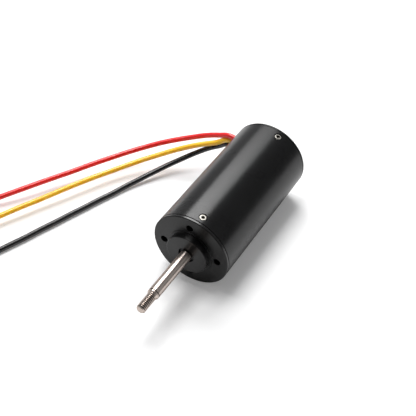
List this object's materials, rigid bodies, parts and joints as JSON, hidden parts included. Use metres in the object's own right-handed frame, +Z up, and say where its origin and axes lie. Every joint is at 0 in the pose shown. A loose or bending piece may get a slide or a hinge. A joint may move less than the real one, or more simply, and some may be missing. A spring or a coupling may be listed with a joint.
{
  "type": "brushless dc motor",
  "caption": "Round brushless motor with an inner rotor in a plain black tube, a flanged pilot face, a long threaded shaft and loose leads with bullet connectors.",
  "frame": {"origin": "on the shaft's axis, in the plane of the front mounting face", "axes": "-Y along the shaft towards its threaded tip, +Y towards the rear cap, +Z up as it lies on its side, the leads leaving on the -X side"},
  "size_m": [0.2128, 0.2113, 0.056],
  "materials": {
    "black_aluminium": "satin black anodised",
    "bright_screw": "bright plated",
    "lamination": "stacked sheet edges",
    "insulator": "moulded nylon",
    "copper_wire": "enamelled copper",
    "bearing_steel": "ground",
    "cage": "pressed",
    "spring_steel": "oiled spring steel",
    "ground_shaft": "ground and polished steel",
    "magnet": "nickel plated",
    "bandage": "wound fibre in resin",
    "balance_brass": "turned",
    "black_silicone": "satin",
    "red_silicone": "satin",
    "yellow_silicone": "satin",
    "gold_plate": "gold plated",
    "sleeving": "shrunk"
  },
  "bodies": {
    "stator": {"housing_tube": "black_aluminium", "front_end_cap": "black_aluminium", "rear_end_cap": "black_aluminium", "front_cap_screws": "bright_screw", "rear_cap_screws": "bright_screw", "stator_core": "lamination", "front_insulator": "insulator", "rear_insulator": "insulator", "phase_a_coils": "copper_wire", "phase_b_coils": "copper_wire", "phase_c_coils": "copper_wire", "lead_ferrules": "copper_wire", "front_bearing_outer_ring": "bearing_steel", "front_bearing_shields": "bearing_steel", "rear_bearing_outer_ring": "bearing_steel", "rear_bearing_shields": "bearing_steel", "preload_washer": "spring_steel", "lead_grommet": "black_silicone", "red_lead": "red_silicone", "yellow_lead": "yellow_silicone", "black_lead": "black_silicone", "red_connector": "gold_plate", "yellow_connector": "gold_plate", "black_connector": "gold_plate", "red_heat_shrink": "sleeving", "yellow_heat_shrink": "sleeving", "black_heat_shrink": "sleeving"},
    "rotor": {"shaft": "ground_shaft", "rotor_core": "lamination", "rotor_magnets": "magnet", "magnet_sleeve": "bandage", "front_balance_ring": "balance_brass", "rear_balance_ring": "balance_brass", "front_spacer": "ground_shaft", "rear_spacer": "ground_shaft", "shaft_circlip": "spring_steel", "front_bearing_inner_ring": "bearing_steel", "rear_bearing_inner_ring": "bearing_steel"},
    "front_cage": {"front_bearing_balls": "bearing_steel", "front_bearing_cage": "cage"},
    "rear_cage": {"rear_bearing_balls": "bearing_steel", "rear_bearing_cage": "cage"}
  },
  "joints": [
    {"name": "rotor_spin", "type": "hinge", "parent": "stator", "child": "rotor", "pos_m": [0, 0, 0], "axis": [0, 1, 0], "continuous": true},
    {"name": "front_cage_spin", "type": "hinge", "parent": "stator", "child": "front_cage", "pos_m": [0, 0, 0], "axis": [0, 1, 0], "continuous": true},
    {"name": "rear_cage_spin", "type": "hinge", "parent": "stator", "child": "rear_cage", "pos_m": [0, 0.1, 0], "axis": [0, 1, 0], "continuous": true}
  ],
  "couplings": [
    {"joint": "front_cage_spin", "follows": "rotor_spin", "ratio": 0.37},
    {"joint": "rear_cage_spin", "follows": "rotor_spin", "ratio": 0.37}
  ]
}
